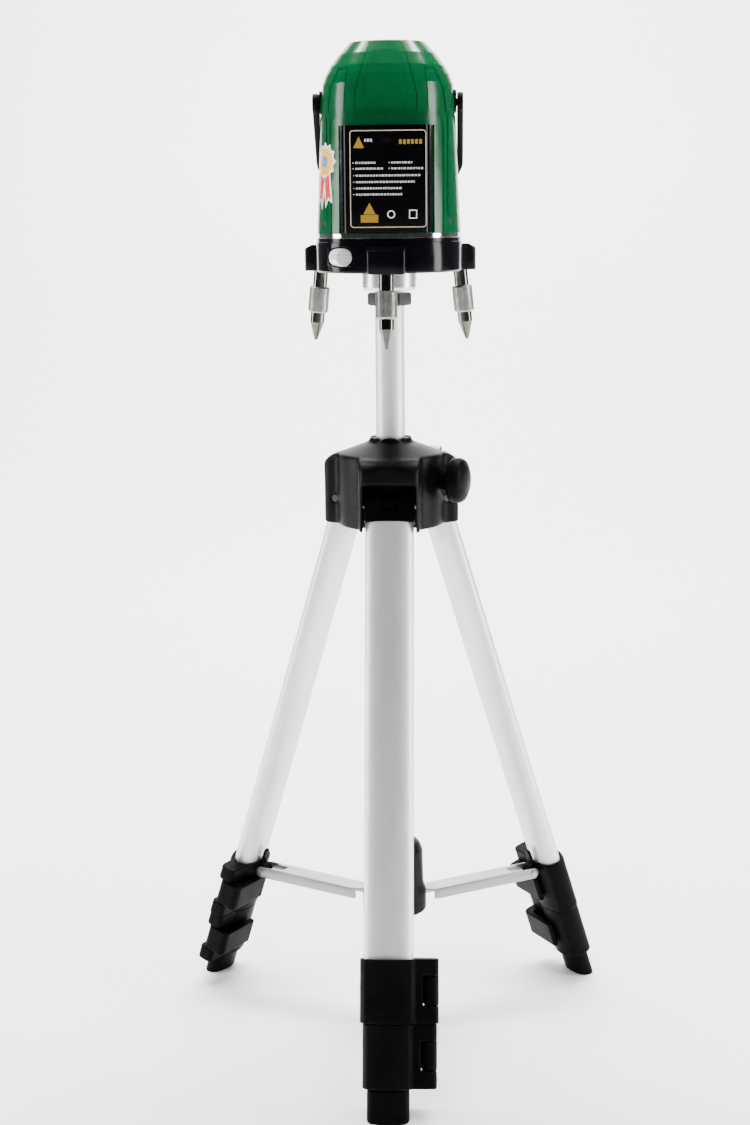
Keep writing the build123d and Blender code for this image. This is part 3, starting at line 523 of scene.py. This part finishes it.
def flank_sticker():
    """A plain prize rosette with two ribbon tails, stuck round the left flank."""
    centre_angle = radians(-152.5)
    centre_z = SHELL_LOW.z + 38.5 * MM

    def lifted(base):
        def place(u, v, lift):
            z = centre_z + 1.2 * v * MM
            radius = shell_radius(z) + (base + 0.08 * lift) * MM
            angle = centre_angle + 1.3 * u * MM / radius
            return (AXIS_X + radius * cos(angle), AXIS_Y + radius * sin(angle), z)
        return place

    burst = fan(star(12, 10.6, 8.6, (0, 7)), (0, 7))
    tail_left = [(-6.5, 1), (-8.8, -16.5), (-4.6, -14.0), (-2.0, -19.0), (1.5, -3)]
    tail_right = [(6.0, 1), (8.6, -15.5), (4.8, -13.6), (2.2, -18.0), (-1.0, -3)]
    backing = burst + fan(tail_left, (-3.8, -6)) + fan(tail_right, (3.8, -6))
    plates("sticker_backing", backing, lifted(0.05), "white", "housing", "green_plastic")
    inner = fan(star(12, 8.4, 7.0, (0, 7)), (0, 7))
    plates("sticker_burst", inner, lifted(0.14), "yellow", "housing", "green_plastic")
    dot = fan(star(12, 3.4, 3.2, (0, 7)), (0, 7))
    plates("sticker_dot", dot, lifted(0.23), "blue", "housing", "green_plastic")
    tails = fan([(-5.0, 0), (-7.2, -14.4), (-4.4, -12.4), (-2.6, -16.2), (0.3, -2)], (-3.4, -6))
    tails += fan([(4.8, 0), (7.2, -13.4), (4.6, -12.0), (2.7, -15.4), (0.6, -2)], (3.6, -6))
    plates("sticker_tails", tails, lifted(0.14), "red", "housing", "green_plastic")


# ---------------------------------------------------------------- knurled nuts and leg tubes
def closed_loft(name, rings, body, finish, slot, smooth_angle):
    """A closed skin through rings of points, the last ring joined to the first."""
    count = len(rings[0])
    faces = []
    for row in range(len(rings)):
        nxt = (row + 1) % len(rings)
        for i in range(count):
            j = (i + 1) % count
            faces.append([row * count + i, row * count + j, nxt * count + j, nxt * count + i])
    mesh = closed_mesh(name, [point for ring in rings for point in ring], faces)
    return add_piece(name, mesh, body, finish, slot, smooth_angle)


def knurled(name, node, body, ribs, radius, groove, core):
    """A straight-knurled nut with chamfered ends, lying along a splayed foot's axis."""
    low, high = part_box(node)
    centre = (low + high) / 2
    outward = Vector((centre.x - AXIS_X, centre.y - AXIS_Y, 0)).normalized()
    along = Vector((0, 0, cos(FOOT_SPLAY))) - outward * sin(FOOT_SPLAY)
    height = (high.z - low.z - 2 * radius * sin(FOOT_SPLAY)) / cos(FOOT_SPLAY)
    side = along.cross(Vector((0, 1, 0))).normalized()
    other = along.cross(side).normalized()
    small, shoulder = radius - 1.0 * MM, 0.5 - 0.9 * MM / height
    levels = ((-0.5, core, core), (-0.5, small, small), (-shoulder, radius, radius - groove),
              (shoulder, radius, radius - groove), (0.5, small, small), (0.5, core, core))
    rings = []
    count = ribs * 4
    for level, crest, root in levels:
        ring = []
        for i in range(count):
            reach = crest if i % 4 in (0, 1) else root
            a = 2 * pi * i / count
            ring.append(centre + along * level * height + side * reach * cos(a) + other * reach * sin(a))
        rings.append(ring)
    piece = closed_loft(name, rings, body, "knurl", SLOTS[node], 25.0)
    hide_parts(node)


def leg_place(number):
    """From a leg's own axes (X outward, Y sideways, Z up the leg) to the frame's."""
    azimuth = radians(-90 + 120 * (number - 1))
    hinge = Matrix.Translation((HINGE_R, 0, HINGE_Z)) @ Matrix.Rotation(-LEG_ANGLE, 4, "Y")
    return Matrix.Translation((AXIS_X, AXIS_Y, 0)) @ Matrix.Rotation(azimuth, 4, "Z") @ hinge


def oval(half_depth, half_width, height, points=64):
    """A gently crowned oval section, in a leg's own axes."""
    ring = []
    for i in range(points):
        a = 2 * pi * i / points
        x, y = cos(a), sin(a)
        size = (abs(x) ** OVAL_POWER + abs(y) ** OVAL_POWER) ** (-1 / OVAL_POWER)
        ring.append(Vector((half_depth * x * size, half_width * y * size, height)))
    return ring


def crowned_tube(node, number):
    """A drawn oval leg tube with slightly crowned faces and softened ends, which stands for the node."""
    place = leg_place(number)
    local = [place.inverted() @ vertex.co for vertex in NODES[node].data.vertices]
    depth = max(abs(point.x) for point in local)
    width = max(abs(point.y) for point in local)
    low = min(point.z for point in local)
    high = max(point.z for point in local)
    wall, soft = TUBE_WALL, 0.3 * MM
    sections = ((depth - soft, width - soft, low), (depth, width, low + soft), (depth, width, high - soft),
                (depth - soft, width - soft, high), (depth - wall, width - wall, high),
                (depth - wall, width - wall, low))
    rings = [[place @ point for point in oval(*section)] for section in sections]
    piece = closed_loft(node + "_drawn", rings, NODES[node]["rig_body"], "aluminium", SLOTS[node], 30.0)
    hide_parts(node)


def rivets(number):
    """The domed rivet heads on both sides of a brace's outer end."""
    joints = {joint["name"]: joint for joint in frame["record"]["behaviour"]["joints"]}
    joint = joints["spreader_%d_turn" % number]
    pivot = Vector(joint["pos_m"])
    along = Vector(joint["axis"]).normalized()
    side = Vector((0, 0, 1))
    other = along.cross(side)
    for way, name in ((1, "near"), (-1, "far")):
        rings = []
        for radius, lift in ((0.0, 0.55), (0.9, 0.5), (1.5, 0.3), (1.8, 0.0), (1.8, -0.4), (0.0, -0.4)):
            middle = pivot + along * way * (BRACE_HALF_WIDTH + lift * MM)
            reach = max(radius, 0.001) * MM
            rings.append([middle + side * reach * cos(2 * pi * i / 20) + other * reach * sin(2 * pi * i / 20)
                          for i in range(20)])
        closed_loft("brace_rivet_%d_%s" % (number, name), rings, "spreader_%d" % number, "steel",
                    SLOTS["brace_%d" % number], 40.0)


# ---------------------------------------------------------------- build the looks
# Castings by node, with the remesh grain in millimetres and the smoothing passes.
MOULDED = {"head_casting": (0.8, 30), "spreader_hub": (0.6, 10)}
# Pieces with rounded edges by node, with the edge's width in millimetres.
ROUNDED = {"level_base": 0.7, "battery_pack": 0.5,
           "column_lock_knob": 0.6, "strap_lugs": 0.5, "carry_strap": 0.9, "lock_nut": 0.35}
for number in (1, 2, 3):
    for part, passes in (("upper_collar", 9), ("lower_collar", 9), ("upper_lever", 18), ("lower_lever", 18),
                         ("foot", 16)):
        MOULDED["leg_%d_%s" % (number, part)] = (0.5, passes)
    ROUNDED["brace_%d" % number] = 0.25

dress_frame()
for node, width in ROUNDED.items():
    rounded_copy(node, width * MM)
for node, (grain, passes) in MOULDED.items():
    moulded_copy(node, grain * MM, passes)
battery_label()
flank_sticker()
for number in (1, 2, 3):
    knurled("knurled_nut_%d" % number, "foot_knurl_%d" % number, "foot_nut_%d" % number,
            ribs=40, radius=7.0 * MM, groove=0.35 * MM, core=3.1 * MM)
    rivets(number)
    for part in ("upper", "middle", "lower"):
        crowned_tube("leg_%d_%s_tube" % (number, part), number)


# ---------------------------------------------------------------- stage, light and camera
SWEEP_FRONT, SWEEP_BROAD_END, SWEEP_BACK = -4.0, 0.9, 3.2
SWEEP_BEND, SWEEP_RISE = 1.2, 4.0
SWEEP_BROAD, SWEEP_NARROW = 5.0, 1.7


def sweep():
    """A pale floor that is broad round the object, then narrows and bends up into a wall behind it."""
    material, tree, shader = new_material("pale_sweep")
    vector = coordinates(tree)
    pale, paler = (0.84, 0.84, 0.845), (0.86, 0.86, 0.865)
    tree.links.new(two_colours(tree, noise(tree, vector, 3.0), paler, pale), shader.inputs["Base Color"])
    shader.inputs["Roughness"].default_value = 0.55
    bend_start = SWEEP_BACK - SWEEP_BEND
    profile = [(SWEEP_FRONT, 0.0, SWEEP_BROAD), (SWEEP_BROAD_END, 0.0, SWEEP_BROAD),
               (bend_start, 0.0, SWEEP_NARROW)]
    profile += [(bend_start + SWEEP_BEND * sin(radians(a)), SWEEP_BEND - SWEEP_BEND * cos(radians(a)),
                 SWEEP_NARROW) for a in range(10, 91, 10)]
    profile.append((SWEEP_BACK, SWEEP_RISE, SWEEP_NARROW))
    vertices = [(x, y, z) for y, z, half in profile for x in (-half, half)]
    faces = [[2 * i, 2 * i + 1, 2 * i + 3, 2 * i + 2] for i in range(len(profile) - 1)]
    floor = bpy.data.objects.new("floor", mesh_of("floor", vertices, faces))
    for polygon in floor.data.polygons:
        polygon.use_smooth = True
    bpy.context.scene.collection.objects.link(floor)
    floor.data.materials.append(material)


def softbox(name, place, target, width, height, power, reflected=True):
    """A rectangular area light at a place, aimed at a target."""
    data = bpy.data.lights.new(name, "AREA")
    data.shape = "RECTANGLE"
    data.size = width
    data.size_y = height
    data.energy = power
    light = bpy.data.objects.new(name, data)
    light.location = place
    aim = Vector(target) - Vector(place)
    light.rotation_euler = aim.to_track_quat("-Z", "Y").to_euler()
    light.visible_glossy = reflected
    bpy.context.scene.collection.objects.link(light)


def lights():
    """Two tall side boxes that gleam in the gloss, soft light from above and in front, and a lit wall."""
    softbox("left_box", (-1.12, 0.02, 0.50), (0, 0, 0.42), 0.26, 0.95, 12)
    softbox("right_box", (1.10, -0.10, 0.50), (0, 0, 0.42), 0.26, 0.95, 15)
    softbox("top_box", (0.0, 0.0, 1.9), (0, 0, 0.3), 1.6, 1.0, 44, reflected=False)
    softbox("front_fill", (-0.5, -1.7, 1.5), (0, 0, 0.4), 0.9, 0.6, 27, reflected=False)
    softbox("sweep_light", (0.0, 1.1, 2.9), (0, 2.8, 0.5), 3.0, 0.8, 520)


def surroundings():
    """A room that is dim in front and brighter behind, and pale where the camera sees it."""
    world = bpy.data.worlds.new("studio")
    bpy.context.scene.world = world
    world.use_nodes = True
    tree = world.node_tree
    coords = tree.nodes.new("ShaderNodeTexCoord")
    split = tree.nodes.new("ShaderNodeSeparateXYZ")
    tree.links.new(coords.outputs["Generated"], split.inputs["Vector"])
    fall = spread(tree, split.outputs["Y"], 0.04, 0.22, 0.1, 0.9)
    seen = spread(tree, tree.nodes.new("ShaderNodeLightPath").outputs["Is Camera Ray"], 0.0, 0.85, 0.0, 1.0)
    brighter = tree.nodes.new("ShaderNodeMath")
    brighter.operation = "MAXIMUM"
    tree.links.new(fall, brighter.inputs[0])
    tree.links.new(seen, brighter.inputs[1])
    background = tree.nodes["Background"]
    tree.links.new(brighter.outputs[0], background.inputs["Strength"])
    background.inputs["Color"].default_value = (0.95, 0.955, 0.96, 1)


def viewpoint():
    """The camera, where the photograph was taken from."""
    distance, height = 1.250, 0.584
    swing, yaw, pitch, roll = radians(1.95), radians(0.54), radians(11.13), radians(-0.6)
    data = bpy.data.cameras.new("camera")
    data.sensor_width = 36.0
    data.lens = 58.1
    camera = bpy.data.objects.new("camera", data)
    camera.location = (AXIS_X + distance * sin(swing), AXIS_Y - distance * cos(swing), height)
    heading = Matrix.Rotation(swing + yaw, 4, "Z") @ Matrix.Rotation(pi / 2 - pitch, 4, "X")
    turn = heading @ Matrix.Rotation(roll, 4, "Z")
    camera.rotation_euler = turn.to_euler()
    bpy.context.scene.collection.objects.link(camera)
    bpy.context.scene.camera = camera


sweep()
lights()
surroundings()
viewpoint()
